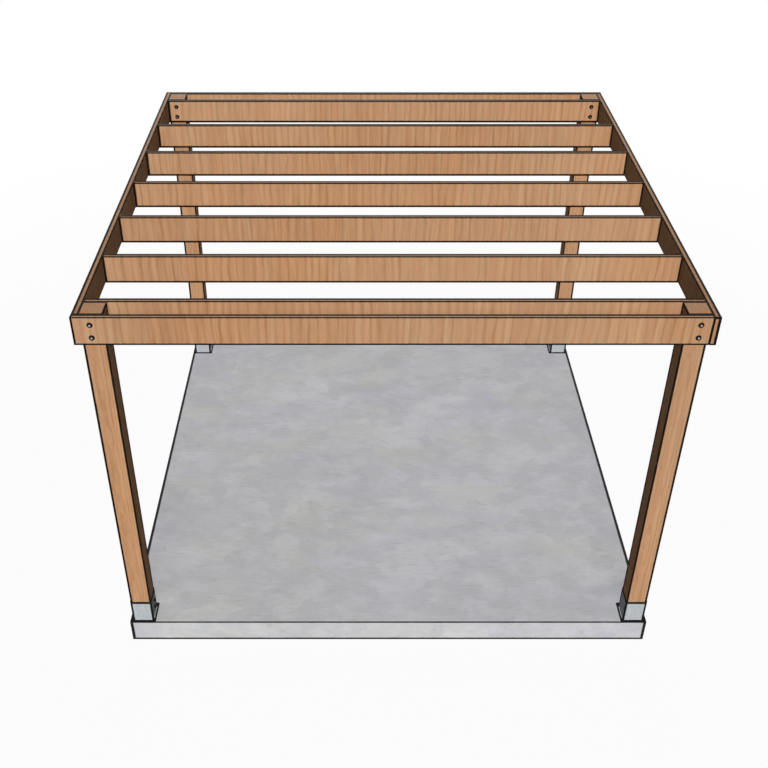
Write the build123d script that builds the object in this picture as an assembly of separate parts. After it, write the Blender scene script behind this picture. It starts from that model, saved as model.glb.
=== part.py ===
from build123d import *
import os

# A square garden pergola: four timber posts in steel bases on a concrete slab,
# a rim of boards round the posts, and rafters across the middle.
# Lengths are in millimetres. X runs to the right, Y to the back and Z up.
# The origin is on the ground, under the middle of the slab.

# Whole frame
overall_width = 3658  # over the outer faces of the two side beams
overall_depth = 3658  # over the outer faces of the front and back outer beams
frame_height = 2500  # from the top of the slab to the top of the timber

# Timber, at planed sizes
board_thickness = 38
board_depth = 184
board_edge_radius = 3
post_side = 140
post_edge_radius = 6
rafter_count = 5

# Post bases, each a square sleeve welded to a plate
plate_overhang = 19  # of the plate, beyond each side of the post
plate_thickness = 6
plate_corner_radius = 5
plate_edge_break = 1
sleeve_height = 180  # from the top of the slab
sleeve_wall = 3
sleeve_clearance = 0.5  # all round the post
weld_radius = 4

# Slab
slab_thickness = 176
slab_edge_radius = 3

# Levels
slab_top = slab_thickness
post_foot = slab_top + plate_thickness
frame_top = slab_top + frame_height
board_level = frame_top - board_depth / 2

# Positions of the pieces' centre lines
side_beam_x = (overall_width - board_thickness) / 2
outer_beam_y = (overall_depth - board_thickness) / 2
post_x = overall_width / 2 - board_thickness - post_side / 2
post_y = overall_depth / 2 - board_thickness - post_side / 2
inner_beam_y = post_y - (post_side + board_thickness) / 2
rafter_spacing = 2 * inner_beam_y / (rafter_count + 1)

# Lengths
outer_beam_length = overall_width - board_thickness
side_beam_length = overall_depth - board_thickness
inner_length = overall_width - 2 * board_thickness
post_length = frame_top - post_foot

# Sections
plate_side = post_side + 2 * plate_overhang
bore_side = post_side + 2 * sleeve_clearance
bore_radius = post_edge_radius + sleeve_clearance
sleeve_side = bore_side + 2 * sleeve_wall
sleeve_radius = bore_radius + sleeve_wall
slab_width = 2 * post_x + plate_side + 2 * slab_edge_radius
slab_depth = 2 * post_y + plate_side + 2 * slab_edge_radius


def board(length):
    """A planed board on edge, along X, centred on the origin."""
    section = Plane.YZ * RectangleRounded(board_thickness, board_depth, board_edge_radius)
    return extrude(section, amount=length / 2, both=True)


def cross_board(length, x, y):
    """A board that runs from left to right, with its top at the top of the frame."""
    return Pos(x, y, board_level) * board(length)


def side_board(length, x, y):
    """A board that runs from front to back, with its top at the top of the frame."""
    return Pos(x, y, board_level) * Rot(Z=90) * board(length)


def post(x, y):
    """A square post with eased corners, from its base plate to the top of the frame."""
    section = RectangleRounded(post_side, post_side, post_edge_radius)
    return Pos(x, y, post_foot) * extrude(section, amount=post_length)


def post_base(x, y):
    """A plate with a square sleeve welded on it, which the post stands in."""
    plate = extrude(RectangleRounded(plate_side, plate_side, plate_corner_radius), amount=plate_thickness)
    rim = plate.faces().sort_by(Axis.Z)[-1].edges()
    plate = chamfer(rim, length=plate_edge_break)

    ring = RectangleRounded(sleeve_side, sleeve_side, sleeve_radius)
    ring -= RectangleRounded(bore_side, bore_side, bore_radius)
    wall = extrude(Pos(0, 0, plate_thickness) * ring, amount=sleeve_height - plate_thickness)
    base = plate + wall

    # The ledge round the sleeve is the only level face with a hole in it that looks up from the plate.
    level = base.faces().filter_by(Axis.Z).filter_by_position(Axis.Z, plate_thickness, plate_thickness)
    ledge = level.sort_by(lambda face: len(face.inner_wires()))[-1]
    base = fillet(ledge.inner_wires()[0].edges(), radius=weld_radius)
    return Pos(x, y, slab_top) * base


def slab():
    """A cast slab with a tooled edge, just large enough for the base plates."""
    block = extrude(RectangleRounded(slab_width, slab_depth, slab_edge_radius), amount=slab_thickness)
    return fillet(block.faces().sort_by(Axis.Z)[-1].edges(), radius=slab_edge_radius)


nodes = {"concrete_slab": slab()}

# Posts and their bases, one at each corner
corners = {
    "front_left": (-post_x, -post_y),
    "front_right": (post_x, -post_y),
    "back_left": (-post_x, post_y),
    "back_right": (post_x, post_y),
}
for corner, (x, y) in corners.items():
    nodes[f"{corner}_post_base"] = post_base(x, y)
    nodes[f"{corner}_post"] = post(x, y)

# The rim goes round like a pinwheel: each board covers the end of one neighbour
# and butts against the other, so it sits half a thickness off the middle.
lap = board_thickness / 2
nodes["front_outer_beam"] = cross_board(outer_beam_length, -lap, -outer_beam_y)
nodes["back_outer_beam"] = cross_board(outer_beam_length, lap, outer_beam_y)
nodes["left_side_beam"] = side_board(side_beam_length, -side_beam_x, lap)
nodes["right_side_beam"] = side_board(side_beam_length, side_beam_x, -lap)

# Inner beams clamp the posts against the outer ones.
nodes["front_inner_beam"] = cross_board(inner_length, 0, -inner_beam_y)
nodes["back_inner_beam"] = cross_board(inner_length, 0, inner_beam_y)

# Rafters, numbered from front to back, evenly spaced between the inner beams
for number in range(1, rafter_count + 1):
    nodes[f"rafter_{number}"] = cross_board(inner_length, 0, number * rafter_spacing - inner_beam_y)

os.makedirs("parts", exist_ok=True)
for name, solid in nodes.items():
    solid.label = name
    export_step(solid, f"parts/{name}.step")
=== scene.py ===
import math
import random

import bmesh
import bpy
from mathutils import Matrix, Vector


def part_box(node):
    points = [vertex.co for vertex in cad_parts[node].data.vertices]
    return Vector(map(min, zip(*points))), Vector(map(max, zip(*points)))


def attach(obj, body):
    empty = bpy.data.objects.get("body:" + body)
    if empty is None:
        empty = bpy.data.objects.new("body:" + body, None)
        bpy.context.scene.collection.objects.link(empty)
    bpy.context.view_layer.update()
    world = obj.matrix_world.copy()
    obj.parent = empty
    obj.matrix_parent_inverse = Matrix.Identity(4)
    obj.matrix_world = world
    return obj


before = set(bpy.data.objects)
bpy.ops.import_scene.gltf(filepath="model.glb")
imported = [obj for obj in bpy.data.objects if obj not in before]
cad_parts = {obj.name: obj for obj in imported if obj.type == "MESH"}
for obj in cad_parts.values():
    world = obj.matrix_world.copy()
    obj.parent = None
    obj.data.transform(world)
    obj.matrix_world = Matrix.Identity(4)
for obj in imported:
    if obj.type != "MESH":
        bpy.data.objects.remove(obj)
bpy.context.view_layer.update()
random.seed(7)

# Lengths are in metres. X runs to the right, Y to the back and Z up.

# Camera, fitted to the photo's frame of 768 by 768 pixels
photo_side = 768
photo_focal = 1043.30
photo_middle_x = 359.49
photo_middle_y = 405.75
camera_place = (-0.2023, -6.8422, 5.7111)
camera_pitch = math.radians(36.024)
sensor_width = 36

# Through bolts, two at each post
bolt_edge = 0.050  # from a beam's top or bottom edge to the middle of a bolt
bolt_radius = 0.005
bolt_head_radius = 0.0120
bolt_head_height = 0.0060
bolt_head_rim = 0.0012
bolt_tail = 0.007  # of thread, beyond the nut
thread_pitch = 0.0015
thread_depth = 0.0007
washer_radius = 0.0175
washer_bore = 0.0055
washer_thickness = 0.0025
nut_apothem = 0.0085
nut_height = 0.0084
nut_chamfer = math.tan(math.radians(30))
dome_shares = (0.9, 0.75, 0.55, 0.3)  # radii of the rings on a bolt's domed head

# Screws in the right side of each post base
base_screw_heights = (0.063, 0.125)  # over the slab
base_screw_flange = 0.0130
base_screw_flange_thickness = 0.0022
base_screw_apothem = 0.0090
base_screw_head = 0.0080

# Screws through the side beams into the ends of the boards between them
rim_screw_edge = 0.042  # from a board's top or bottom edge
rim_screw_radius = 0.0075
rim_screw_height = 0.0028
rim_screw_recess = 0.0016
rim_screw_socket = 0.0034
rim_screw_shares = (  # of a head's radius and height, from below
    (1.0, 0.0),
    (1.0, 0.35),
    (0.8, 0.85),
    (0.62, 1.0),
)
socket_points = 6
socket_wave_share = 0.14
seat_tolerance = 0.001  # between a board's end and the beam that it is screwed to

# Dark sealer: how far it reaches in from the arrises on the left, front and bottom of a piece, then
# from those on the right, back and top. On the right one of a pair, left and right change places.
board_sealer = ((0.014, 0.0055, 0.013), (0.010, 0.022, 0.006))
sealer_gain_share = 0.06  # of each board across, over the one before it
side_beam_sealer = ((0.018, 0.010, 0.012), (0.006, 0.010, 0.012))
post_sealer = ((0.017, 0.013, 0.015), (0.010, 0.028, 0.015))
base_sealer = ((0.018, 0.014, 0.013), (0.012, 0.026, 0.019))
slab_sealer = ((0.024, 0.0075, 0.018), (0.024, 0.018, 0.0075))
sealer_fade_shares = (0.75, 1.1)  # of its reach, where it starts to thin and where it ends
sealer_ripple_share = 0.25  # of its reach, by which its edge wavers
sealer_cover = 0.99
post_top_narrowing = 0.6  # the sealer on a post's top reaches 1 / (1 + this) as far

# Timber: how its growth lines are drawn out along X, Y and Z, how far they lean, and how many a metre has
cross_grain = {"stretch": (1.0, 0.3, 0.06), "lean": 0.15, "rings": 20}
side_grain = {"stretch": (0.3, 1.0, 0.06), "lean": 0.15, "rings": 20}
post_grain = {"stretch": (1.0, 1.0, 0.04), "lean": 0.02, "rings": 90}
grain_wander = 0.02
board_tones = (0.98, 1.03)
post_tones = (1.02, 1.06)
pith_shares = (0.35, 0.65)  # of a post's side
# Painted shade: a thin skin under each top face of the timber is mixed toward black, so the tops come out
# darker
shaded_top_skin = 0.002  # under a top face
top_shade_share = 0.1  # of black on it

# Depth of the finishes' relief
timber_relief = 0.0006
concrete_relief = 0.0008
metal_relief = 0.0001

# Wear on the blackened steel, and a painted highlight on the crowns of the bolt heads
crown_share = 0.76  # of a bolt head's height, over which it is worn
head_wear_and_highlight_share = 0.9
nut_wear_share = 0.25
wear_and_highlight_fade = 0.0012
wear_and_highlight_ripple = 0.001

# Post bases
sleeve_wall = 0.0035  # from the post to the outside of the sleeve round it
plate_thickness = 0.006

# Stage. A lamp's level is that of a white face turned to it, and its spread is in degrees.
floor_reach = 60
floor_tint = (0.95, 0.95, 0.95, 1)
dim_floor_tint = (0.1, 0.1, 0.1, 1)  # for the rays that light the object
shadow_floor_radii = (3.0, 9.0)  # from nearly white, with a shadow, to plain white
shadow_floor_share = 0.1
ambient_level = 0.07
front_lamp_elevation = math.radians(28.5)
front_lamp_level = 0.15
front_fill_level = 0.88
front_lamp_spread = 26
back_lamp_elevation = math.radians(22)
back_lamp_level = 0.06
back_lamp_spread = 20
back_fill_elevation = math.radians(9.4)
back_fill_level = 0.76
side_lamp_level = 0.8
side_lamp_spread = 0.5

# Meshes: the points in a ring, and the angle from which an edge is sharp
round_steps = 48
crease = math.radians(35)

# Pieces of the frame
rafter_count = 5
boards_across = ["front_outer_beam", "front_inner_beam"]
boards_across += [f"rafter_{number}" for number in range(1, rafter_count + 1)]
boards_across += ["back_inner_beam", "back_outer_beam"]
side_beams = ["left_side_beam", "right_side_beam"]
corners = ["front_left", "front_right", "back_left", "back_right"]


def colour(red, green, blue, tone=1.0):
    """A colour from its 8-bit screen values, made lighter or darker by tone."""
    shares = [value / 255 for value in (red, green, blue)]
    linear = [s / 12.92 if s <= 0.04045 else ((s + 0.055) / 1.055) ** 2.4 for s in shares]
    return tuple(tone * share for share in linear) + (1.0,)


class Shade:
    """An output of a shader node, so that sums and products of it add Math nodes to its tree."""

    def __init__(self, tree, socket=None):
        self.tree = tree
        self.socket = socket

    def node(self, kind, settings=None, sockets=None, output=0):
        """Adds a node: its settings first, then the values or links of its sockets."""
        made = self.tree.nodes.new(kind)
        for name, value in (settings or {}).items():
            if name == "stops":
                set_stops(made.color_ramp, value)
            else:
                setattr(made, name, value)
        for name, value in (sockets or {}).items():
            if isinstance(value, Shade):
                self.tree.links.new(value.socket, made.inputs[name])
            else:
                made.inputs[name].default_value = value
        return Shade(self.tree, made.outputs[output] if made.outputs else None)

    def math(self, operation, *values):
        return self.node("ShaderNodeMath", {"operation": operation}, dict(enumerate(values)))

    def __add__(self, other):
        return self.math("ADD", self, other)

    __radd__ = __add__

    def __sub__(self, other):
        return self.math("SUBTRACT", self, other)

    def __rsub__(self, other):
        return self.math("SUBTRACT", other, self)

    def __mul__(self, other):
        return self.math("MULTIPLY", self, other)

    __rmul__ = __mul__

    def __pow__(self, power):
        return self.math("POWER", self, power)

    def __abs__(self):
        return self.math("ABSOLUTE", self)

    def least(self, other):
        return self.math("MINIMUM", self, other)

    def most(self, other):
        return self.math("MAXIMUM", self, other)

    def rise(self, low, high):
        """Goes smoothly from 0 at low to 1 at high."""
        sockets = {"Value": self, "From Min": low, "From Max": high}
        return self.node("ShaderNodeMapRange", {"interpolation_type": "SMOOTHSTEP"}, sockets)

    def mix(self, first, second):
        """A colour that goes from first to second as this goes from 0 to 1."""
        return self.node("ShaderNodeMix", {"data_type": "RGBA"}, {0: self, 6: first, 7: second}, 2)

    def ramp(self, stops):
        return self.node("ShaderNodeValToRGB", {"stops": stops}, {"Fac": self})

    def axis(self, letter):
        return self.node("ShaderNodeSeparateXYZ", sockets={0: self}, output=letter)

    def stretched(self, factors):
        return self.node("ShaderNodeVectorMath", {"operation": "MULTIPLY"}, {0: self, 1: factors})

    def noise(self, scale, detail=2.0, roughness=0.5):
        sockets = {"Vector": self, "Scale": scale, "Detail": detail, "Roughness": roughness}
        return self.node("ShaderNodeTexNoise", sockets=sockets)

    def cells(self, scale, output="Distance"):
        sockets = {"Vector": self, "Scale": scale}
        return self.node("ShaderNodeTexVoronoi", sockets=sockets, output=output)


def set_stops(ramp, stops):
    """Gives a colour ramp its stops, each a place and a colour."""
    while len(ramp.elements) < len(stops):
        ramp.elements.new(1.0)
    for element, (place, tint) in zip(ramp.elements, stops):
        element.position = place
        element.color = tint


def new_material(name):
    """An empty material, and a start for its nodes."""
    made = bpy.data.materials.new(name)
    made.use_nodes = True
    made.node_tree.nodes.clear()
    return made, Shade(made.node_tree)


def coat(start, sockets, relief, depth):
    """Ends a material's nodes with a surface that has these socket values, and relief as its bump."""
    bump = start.node("ShaderNodeBump", sockets={"Height": relief, "Distance": depth})
    surface = start.node("ShaderNodeBsdfPrincipled", sockets={**sockets, "Normal": bump})
    start.node("ShaderNodeOutputMaterial", sockets={"Surface": surface})


def sealer(edge):
    """How much dark sealer lies at this many reaches from an edge, from 1 to 0."""
    return 1 - edge.rise(*sealer_fade_shares)


def handed(node, reaches):
    """The sealer's reaches on one of a left and right pair, from those on the left one."""
    low, high = reaches
    if "right" in node:
        return (high[0], *low[1:]), (low[0], *high[1:])
    return reaches


def edge_distance(place, box, reaches):
    """How far a place on a box is from the nearest edge, in reaches of the sealer there."""
    gaps = []
    for letter, start, end, low_reach, high_reach in zip("XYZ", *box, *reaches):
        from_low = (place.axis(letter) - start) * (1 / low_reach)
        from_high = (end - place.axis(letter)) * (1 / high_reach)
        gaps.append(abs(from_low.least(from_high)))
    least = gaps[0].least(gaps[1]).least(gaps[2])
    most = gaps[0].most(gaps[1]).most(gaps[2])
    return gaps[0] + gaps[1] + gaps[2] - least - most


def timber(name, box, tone, reaches, stretch, lean, rings, pith=None):
    """Planed softwood with upright growth lines, round a pith if it has one, and arrises sealed dark."""
    made, start = new_material(name)
    place = start.node("ShaderNodeTexCoord", output="Object")
    height = place.axis("Z") - box[1].z
    sway = (place.noise(1.7) - 0.5) * lean * height + (place.noise(7.0) - 0.5) * grain_wander
    swayed = start.node(
        "ShaderNodeCombineXYZ",
        sockets={"X": place.axis("X") + sway, "Y": place.axis("Y") + sway, "Z": place.axis("Z")},
    )
    grain = swayed.stretched(stretch)
    across = grain.axis("X") + grain.axis("Y")
    if pith:
        side = grain.axis("X") - pith[0]
        back = grain.axis("Y") - pith[1]
        across = (side * side + back * back) ** 0.5
    breadth = grain.noise(1.1)
    bands = grain.noise(9.0)
    ribbons = grain.noise(24.0)
    streaks = grain.noise(52.0, 3.0, 0.6)
    fibres = grain.noise(210.0)
    pores = grain.noise(900.0, 2.0, 0.6)
    turns = across * (2 * math.pi * rings) + grain.noise(5.0) * 12
    lines = (turns.math("SINE", turns) * 0.5 + 0.5) ** 3 * (bands * 1.6 - 0.2)
    figure = 0.58 + (breadth - 0.5) * 0.35 + (bands - 0.5) * 0.3 + (ribbons - 0.5) * 0.35 - lines * 0.26
    figure = figure + (streaks - 0.5) * 0.55 + (fibres - 0.5) * 0.2 + (pores - 0.5) * 0.3
    ruddy = figure.ramp([
        (0.2, colour(164, 116, 75, tone)),
        (0.5, colour(192, 144, 104, tone)),
        (0.8, colour(209, 164, 123, tone)),
    ])
    straw = figure.ramp([
        (0.2, colour(158, 115, 79, tone)),
        (0.5, colour(187, 144, 109, tone)),
        (0.8, colour(204, 165, 127, tone)),
    ])
    hue = grain.noise(1.3) * 0.5 + grain.noise(14.0, 3.0) * 0.5
    wood = hue.rise(0.38, 0.62).mix(ruddy, straw)
    blush = grain.noise(22.0, 2.0).rise(0.45, 0.70) * 0.35
    wood = blush.mix(wood, colour(196, 141, 109, tone))
    # Painted shade: the top face is mixed a little toward black
    on_top = height.rise(-shaded_top_skin, -shaded_top_skin / 2)
    wood = (on_top * top_shade_share).mix(wood, colour(0, 0, 0))
    edge = edge_distance(place, box, reaches) + (fibres - 0.5) * sealer_ripple_share
    if pith:
        edge = edge * (1 + on_top * post_top_narrowing)
    wood = (sealer(edge) * sealer_cover).mix(wood, colour(14, 10, 8))
    coat(
        start,
        {"Base Color": wood, "Roughness": 0.6 + fibres * 0.25, "Specular IOR Level": 0.04},
        fibres * 0.5 + streaks * 0.3 + pores * 0.2,
        timber_relief,
    )
    return made


def concrete(name, box):
    """Trowelled concrete, with clouds, stains and smears, marks of the trowel and air holes."""
    made, start = new_material(name)
    place = start.node("ShaderNodeTexCoord", output="Object")
    wander = place.node("ShaderNodeTexNoise", sockets={"Vector": place, "Scale": 16.0}, output="Color")
    pushed = place.node(
        "ShaderNodeVectorMath",
        {"operation": "MULTIPLY_ADD"},
        {0: wander, 1: (0.12, 0.07, 0.07), 2: place},
    )
    bands = place.stretched((0.4, 1.0, 1.0)).noise(1.5, 3.0, 0.55)
    clouds = pushed.stretched((0.6, 1.0, 1.0)).noise(2.6, 4.0, 0.55)
    patches = place.stretched((0.7, 1.0, 1.0)).noise(7.0, 5.0, 0.65)
    smears = pushed.cells(6.5, output="Color")
    stains = pushed.stretched((0.6, 1.0, 1.0)).cells(3.6, output="Color")
    dashes = place.stretched((9.0, 75.0, 30.0)).noise(1.0, 3.0, 0.6)
    sand = place.noise(420.0, 2.0, 0.7)
    scuffs = 1 - pushed.stretched((0.6, 1.0, 1.0)).cells(1.2).rise(0.02, 0.11)
    holes = 1 - place.cells(34.0).rise(0.02, 0.07)
    pits = holes * place.noise(5.0).rise(0.55, 0.65)
    edge = edge_distance(place, box, slab_sealer) + (patches - 0.5) * sealer_ripple_share
    tint = bands.rise(0.36, 0.64).mix(colour(207, 208, 205), colour(205, 203, 211))
    layers = [
        (clouds.rise(0.50, 0.64) * 0.7, colour(219, 219, 221)),
        ((1 - clouds).rise(0.50, 0.64) * 0.7, colour(191, 191, 196)),
        (stains.axis("X").rise(0.3, 0.9) * 0.45, colour(206, 206, 200)),
        (stains.axis("Y").rise(0.3, 0.9) * 0.45, colour(201, 200, 210)),
        (smears.axis("X").rise(0.2, 1.0) * 0.55, colour(193, 193, 197)),
        (patches.rise(0.46, 0.70) * 0.5, colour(220, 220, 225)),
        (scuffs * dashes.rise(0.36, 0.60) * 0.6, colour(164, 164, 171)),
        (dashes.rise(0.56, 0.74) * 0.45, colour(170, 170, 176)),
        ((1 - dashes).rise(0.56, 0.74) * 0.4, colour(224, 224, 228)),
        (sand.rise(0.54, 0.78) * 0.3, colour(150, 150, 153)),
        (pits * 0.5, colour(115, 115, 118)),
        (sealer(edge) * sealer_cover, colour(15, 15, 16)),
    ]
    for cover, layer in layers:
        tint = cover.mix(tint, layer)
    coat(
        start,
        {"Base Color": tint, "Roughness": 0.78 + sand * 0.15, "Specular IOR Level": 0.15},
        sand * 0.5 + dashes * 0.5 + patches * 0.5 - pits * 1.5,
        concrete_relief,
    )
    return made


def galvanised(name, boxes, reaches):
    """Zinc-coated steel gone dull: pale spangle, faint runs and dark edges."""
    made, start = new_material(name)
    place = start.node("ShaderNodeTexCoord", output="Object")
    spangle = place.cells(140.0, output="Color").axis("X")
    runs = place.stretched((60.0, 60.0, 6.0)).noise(1.0, 3.0)
    tint = (spangle * 0.35 + runs * 0.65).ramp([
        (0.25, colour(176, 180, 184)),
        (0.75, colour(197, 201, 204)),
    ])
    sealed = [sealer(edge_distance(place, box, reaches)) for box in boxes]
    sealed = sealed[0].most(sealed[1])
    tint = (sealed * sealer_cover).mix(tint, colour(12, 12, 13))
    coat(
        start,
        {
            "Base Color": tint,
            "Roughness": 0.5 + spangle * 0.1 + runs * 0.1 + sealed * 0.3,
            "Metallic": 0.05,
            "Specular IOR Level": 0.06,
        },
        spangle * 0.2 + runs * 0.8,
        metal_relief,
    )
    return made


def blackened(name, face, outward, worn_and_highlit_height, wear_and_highlight):
    """Blackened steel, bright where it stands out by more than worn_and_highlit_height from the beams'
    faces: rubbed bare there, and on the bolt heads' crowns also a painted highlight.

    face is how far these faces are from the middle, and outward is 1 for outer ones and -1 for inner ones.
    """
    made, start = new_material(name)
    place = start.node("ShaderNodeTexCoord", output="Object")
    marks = place.noise(900.0, 3.0, 0.65)
    bloom = place.noise(160.0, 2.0)
    tint = (marks * 0.5 + bloom * 0.5).ramp([(0.35, colour(10, 8, 6)), (0.65, colour(33, 26, 20))])
    height = (abs(place.axis("Y")) - face) * outward + (bloom - 0.5) * wear_and_highlight_ripple
    # Bright where it stands out: rubbed-bare steel, and on the bolt heads' crowns a painted highlight
    worn_and_highlit = height.rise(worn_and_highlit_height, worn_and_highlit_height + wear_and_highlight_fade)
    tint = (worn_and_highlit * wear_and_highlight).mix(tint, colour(206, 205, 203))
    coat(
        start,
        {
            "Base Color": tint,
            "Roughness": 0.5 + bloom * 0.3,
            "Metallic": worn_and_highlit * (wear_and_highlight * 0.3),
            "Specular IOR Level": 0.08,
        },
        marks,
        metal_relief,
    )
    return made


def turn(mesh, rings, place, closed=False):
    """Joins rings of (radius, height) points round an axis into a skin. One point alone is a middle."""
    loops = []
    for ring in rings:
        points = []
        for step, (radius, height) in enumerate(ring):
            angle = 2 * math.pi * step / len(ring)
            local = Vector((radius * math.cos(angle), radius * math.sin(angle), height))
            points.append(mesh.verts.new(place @ local))
        loops.append(points)
    following = loops[1:] + loops[:1] if closed else loops[1:]
    for lower, upper in zip(loops, following):
        for step in range(round_steps):
            after = step + 1
            corner = [
                lower[step % len(lower)],
                lower[after % len(lower)],
                upper[after % len(upper)],
                upper[step % len(upper)],
            ]
            mesh.faces.new(dict.fromkeys(corner))


def circle(radius, height):
    return [(radius, height)] * round_steps


def middle(height):
    return [(0.0, height)]


def hexagon(apothem, top, chamfered):
    """A six-sided ring whose corners are cut back by the cone that chamfers a nut."""
    ring = []
    for step in range(round_steps):
        angle = 2 * math.pi * step / round_steps
        turned = angle % (math.pi / 3) - math.pi / 6
        radius = apothem / math.cos(turned)
        drop = (radius - apothem) * nut_chamfer if chamfered else 0.0
        ring.append((radius, top - drop))
    return ring


def star(radius, height):
    """A six-pointed socket outline with round points."""
    ring = []
    for step in range(round_steps):
        angle = 2 * math.pi * step / round_steps
        ring.append((radius * (1 + socket_wave_share * math.cos(socket_points * angle)), height))
    return ring


def domed_head(mesh, place):
    """A carriage bolt's low round head."""
    cap = bolt_head_height - bolt_head_rim
    dome = (bolt_head_radius ** 2 + cap ** 2) / (2 * cap)
    rings = [middle(0.0), circle(bolt_head_radius, 0.0), circle(bolt_head_radius, bolt_head_rim)]
    for share in dome_shares:
        radius = bolt_head_radius * share
        height = bolt_head_height - dome + math.sqrt(dome ** 2 - radius ** 2)
        rings.append(circle(radius, height))
    rings.append(middle(bolt_head_height))
    turn(mesh, rings, place)


def washer(mesh, place):
    """A flat ring with eased edges."""
    ease = washer_thickness / 4
    outer = washer_radius - ease
    rings = [
        circle(washer_bore, 0.0),
        circle(washer_radius, 0.0),
        circle(washer_radius, washer_thickness - ease),
        circle(outer, washer_thickness),
        circle(washer_bore, washer_thickness),
    ]
    turn(mesh, rings, place, closed=True)


def nut_and_tail(mesh, place):
    """A hexagon nut, with the bolt's threaded end standing out of it."""
    base = washer_thickness
    top = base + nut_height
    rings = [
        middle(base),
        circle(nut_apothem, base),
        hexagon(nut_apothem, base, False),
        hexagon(nut_apothem, top, True),
        circle(nut_apothem, top),
        circle(bolt_radius, top - thread_depth),
    ]
    height = top
    while height < top + bolt_tail:
        rings.append(circle(bolt_radius - thread_depth, height))
        rings.append(circle(bolt_radius, height + thread_pitch / 2))
        height += thread_pitch
    rings.append(circle(bolt_radius - thread_depth, height))
    rings.append(middle(height))
    turn(mesh, rings, place)


def flanged_screw(mesh, place):
    """A hexagon screw head on its own round flange."""
    flange = base_screw_flange_thickness
    top = flange + base_screw_head
    rings = [
        middle(0.0),
        circle(base_screw_flange, 0.0),
        circle(base_screw_flange, flange / 2),
        hexagon(base_screw_apothem, flange, False),
        hexagon(base_screw_apothem, top, True),
        circle(base_screw_apothem, top),
        middle(top),
    ]
    turn(mesh, rings, place)


def wide_screw(mesh, place):
    """A timber screw's wide low head, with a star socket."""
    floor = rim_screw_height - rim_screw_recess
    rings = [middle(0.0)]
    for radius_share, height_share in rim_screw_shares:
        rings.append(circle(rim_screw_radius * radius_share, rim_screw_height * height_share))
    rings.append(star(rim_screw_socket, rim_screw_height))
    rings.append(star(rim_screw_socket, floor))
    rings.append(middle(floor))
    turn(mesh, rings, place)


def facing(point, direction):
    """Stands a fastener, made along Z, on a point of a face that looks in a direction."""
    return Matrix.Translation(point) @ Vector(direction).to_track_quat("Z", "Y").to_matrix().to_4x4()


def fasteners(name, makers, material):
    """One piece made of many fasteners, each a function that makes it and the place it stands in."""
    mesh = bmesh.new()
    for make, place in makers:
        make(mesh, place)
    bmesh.ops.recalc_face_normals(mesh, faces=mesh.faces)
    data = bpy.data.meshes.new(name)
    mesh.to_mesh(data)
    mesh.free()
    data.set_sharp_from_angle(angle=crease)
    data.materials.append(material)
    piece = bpy.data.objects.new(name, data)
    bpy.context.scene.collection.objects.link(piece)
    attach(piece, "root")


def bolt_places(beam, post, depth, outward):
    """Where a post's two bolts come through a beam's face, at depth along Y."""
    low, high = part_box(beam)
    post_low, post_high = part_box(post)
    across = (post_low.x + post_high.x) / 2
    heights = (low.z + bolt_edge, high.z - bolt_edge)
    return [facing((across, depth, height), (0, outward, 0)) for height in heights]


def dress(node, material):
    """Gives a piece of the frame its finish."""
    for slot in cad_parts[node].material_slots:
        slot.material = material


def base_boxes(corner):
    """The boxes round a post base's plate and round its sleeve. The sleeve's goes down to the ground."""
    low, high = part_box(f"{corner}_post_base")
    post_low, post_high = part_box(f"{corner}_post")
    wall = Vector((sleeve_wall, sleeve_wall, 0))
    plate = (low, Vector((high.x, high.y, low.z + plate_thickness)))
    sleeve_low = Vector((*(post_low - wall).xy, 0))
    sleeve_high = Vector((*(post_high + wall).xy, high.z))
    return [plate, (sleeve_low, sleeve_high)]


# Timber and slab
for number, node in enumerate(boards_across):
    tone = random.uniform(*board_tones)
    gain = 1 + number * sealer_gain_share
    reaches = [[reach * gain for reach in side] for side in board_sealer]
    dress(node, timber(node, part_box(node), tone, reaches, **cross_grain))
for node in side_beams:
    tone = random.uniform(*board_tones)
    dress(node, timber(node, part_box(node), tone, handed(node, side_beam_sealer), **side_grain))
for corner in corners:
    node = f"{corner}_post"
    low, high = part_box(node)
    pith = [random.uniform(*pith_shares) * (end - start) + start for start, end in zip(low.xy, high.xy)]
    tone = random.uniform(*post_tones)
    dress(node, timber(node, (low, high), tone, handed(node, post_sealer), **post_grain, pith=pith))
dress("concrete_slab", concrete("concrete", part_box("concrete_slab")))

# Post bases
for corner in corners:
    node = f"{corner}_post_base"
    dress(node, galvanised(node, base_boxes(corner), handed(node, base_sealer)))

# Bolts, washers and nuts
heads, nuts, washers = [], [], []
lift = Matrix.Translation((0, 0, washer_thickness))
for corner in corners:
    side = corner.split("_")[0]
    outward = -1 if side == "front" else 1
    post = f"{corner}_post"
    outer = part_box(f"{side}_outer_beam")
    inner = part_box(f"{side}_inner_beam")
    outer_face = outer[0].y if side == "front" else outer[1].y
    inner_face = inner[1].y if side == "front" else inner[0].y
    outer_places = bolt_places(f"{side}_outer_beam", post, outer_face, outward)
    inner_places = bolt_places(f"{side}_inner_beam", post, inner_face, -outward)
    heads += [(domed_head, place @ lift) for place in outer_places]
    nuts += [(nut_and_tail, place) for place in inner_places]
    washers += [(washer, place) for place in outer_places + inner_places]

# The front and back faces are equally far from the middle, so the last ones found serve for all.
# The bolt heads' crowns are bright: wear, and a painted highlight
crown = washer_thickness + bolt_head_height * crown_share
black_heads = blackened("blackened_heads", abs(outer_face), 1, crown, head_wear_and_highlight_share)
first_thread = washer_thickness + nut_height + thread_pitch
black_nuts = blackened("blackened_nuts", abs(inner_face), -1, first_thread, nut_wear_share)
fasteners("carriage_bolt_heads", heads, black_heads)
fasteners("bolt_nuts", nuts, black_nuts)
fasteners("bolt_washers", washers, black_heads)

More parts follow.
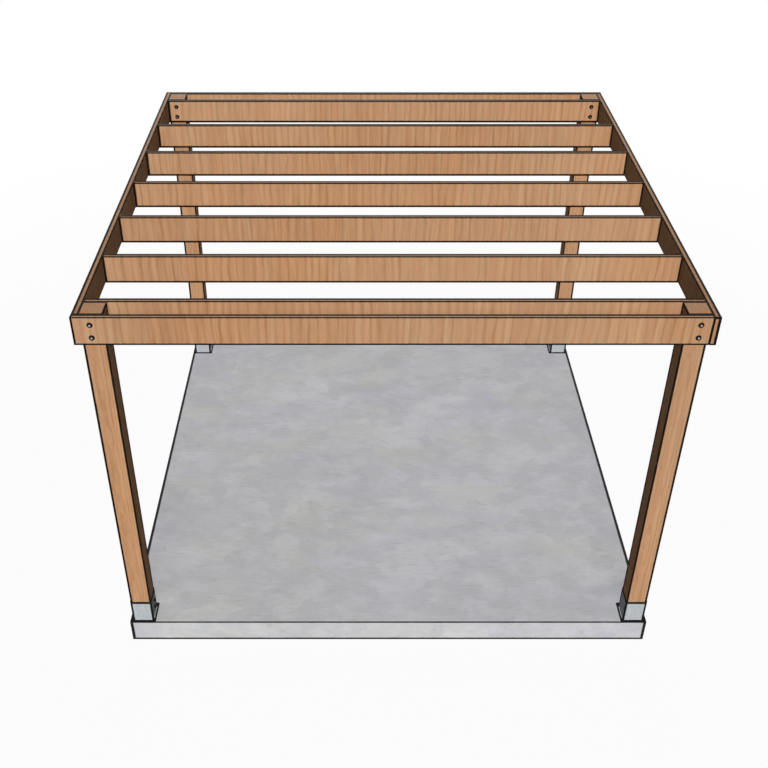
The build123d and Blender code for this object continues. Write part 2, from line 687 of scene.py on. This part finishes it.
# Screws in the post bases
screws = []
slab_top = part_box("concrete_slab")[1].z
for corner in corners:
    post_low, post_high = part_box(f"{corner}_post")
    for height in base_screw_heights:
        point = (post_high.x + sleeve_wall, (post_low.y + post_high.y) / 2, slab_top + height)
        screws.append((flanged_screw, facing(point, (1, 0, 0))))
fasteners("post_base_screws", screws, black_heads)

# Screws through the side beams
screws = []
for outward, beam in zip((-1, 1), side_beams):
    low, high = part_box(beam)
    face = low.x if outward < 0 else high.x
    for node in boards_across:
        board_low, board_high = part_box(node)
        reach = board_low.x if outward < 0 else board_high.x
        inside = high.x if outward < 0 else low.x
        if abs(reach - inside) > seat_tolerance:
            continue
        for height in (board_low.z + rim_screw_edge, board_high.z - rim_screw_edge):
            point = (face, (board_low.y + board_high.y) / 2, height)
            screws.append((wide_screw, facing(point, (outward, 0, 0))))
fasteners("side_beam_screws", screws, black_heads)


def seen_rays(start):
    """1 for the rays that show what is behind the object, and 0 for the rays that light it."""
    camera, glossy, clear = [
        start.node("ShaderNodeLightPath", output=f"Is {kind} Ray")
        for kind in ("Camera", "Glossy", "Transmission")
    ]
    return camera.most(glossy).most(clear)


def stage_floor():
    """A plain pale floor, nearly white round the object with its shadow on it, and white farther out."""
    made, start = new_material("floor_paint")
    seen = seen_rays(start)
    place = start.node("ShaderNodeTexCoord", output="Object")
    away = start.node("ShaderNodeVectorMath", {"operation": "LENGTH"}, {0: place}, "Value")
    white = 1 - (1 - away.rise(*shadow_floor_radii)) * shadow_floor_share
    shade = seen.mix(dim_floor_tint, floor_tint)
    paint = start.node("ShaderNodeBsdfDiffuse", sockets={"Color": shade})
    glow = start.node("ShaderNodeEmission", sockets={"Color": (1, 1, 1, 1), "Strength": 1.0})
    both = start.node("ShaderNodeMixShader", sockets={0: seen * white, 1: paint, 2: glow})
    start.node("ShaderNodeOutputMaterial", sockets={"Surface": both})
    mesh = bmesh.new()
    bmesh.ops.create_grid(mesh, x_segments=1, y_segments=1, size=floor_reach)
    data = bpy.data.meshes.new("floor")
    mesh.to_mesh(data)
    mesh.free()
    data.materials.append(made)
    floor = bpy.data.objects.new("floor", data)
    bpy.context.scene.collection.objects.link(floor)


def sky():
    """White behind everything, and a low even light from all round."""
    world = bpy.data.worlds.new("studio")
    world.use_nodes = True
    world.node_tree.nodes.clear()
    start = Shade(world.node_tree)
    tint = seen_rays(start).mix((ambient_level, ambient_level, ambient_level, 1), (1, 1, 1, 1))
    glow = start.node("ShaderNodeBackground", sockets={"Color": tint, "Strength": 1.0})
    start.node("ShaderNodeOutputWorld", sockets={"Surface": glow})
    bpy.context.scene.world = world


def ahead(elevation, side):
    """A direction at this elevation, to the front where side is -1 and to the back where it is 1."""
    return Vector((0, side * math.cos(elevation), math.sin(elevation)))


def lamp(name, toward, level, spread, fill=False):
    """A far lamp that lights a white face turned to it to this level. toward points to the lamp.

    A fill lamp softens the others: it casts no shadow, and its light doesn't bounce.
    """
    data = bpy.data.lights.new(name, "SUN")
    data.energy = math.pi * level
    data.angle = math.radians(spread)
    if fill:
        data.use_shadow = False
        data.cycles.max_bounces = 0
    made = bpy.data.objects.new(name, data)
    made.rotation_euler = toward.to_track_quat("Z", "Y").to_euler()
    bpy.context.scene.collection.objects.link(made)


stage_floor()
sky()
front = ahead(front_lamp_elevation, -1)
lamp("front_lamp", front, front_lamp_level, front_lamp_spread)
lamp("front_fill", front, front_fill_level, front_lamp_spread, fill=True)
lamp("back_lamp", ahead(back_lamp_elevation, 1), back_lamp_level, back_lamp_spread)
lamp("back_fill", ahead(back_fill_elevation, 1), back_fill_level, side_lamp_spread, fill=True)
lamp("left_lamp", Vector((-1, 0, 0)), side_lamp_level, side_lamp_spread)
lamp("right_lamp", Vector((1, 0, 0)), side_lamp_level, side_lamp_spread)

# Camera
camera_data = bpy.data.cameras.new("camera")
camera_data.sensor_width = sensor_width
camera_data.lens = sensor_width * photo_focal / photo_side
camera_data.shift_x = 0.5 - photo_middle_x / photo_side
camera_data.shift_y = photo_middle_y / photo_side - 0.5
camera_data.clip_end = 2 * floor_reach
camera = bpy.data.objects.new("camera", camera_data)
camera.location = camera_place
camera.rotation_euler = (math.pi / 2 - camera_pitch, 0, 0)
bpy.context.scene.collection.objects.link(camera)
bpy.context.scene.camera = camera
bpy.context.scene.view_settings.view_transform = "Standard"
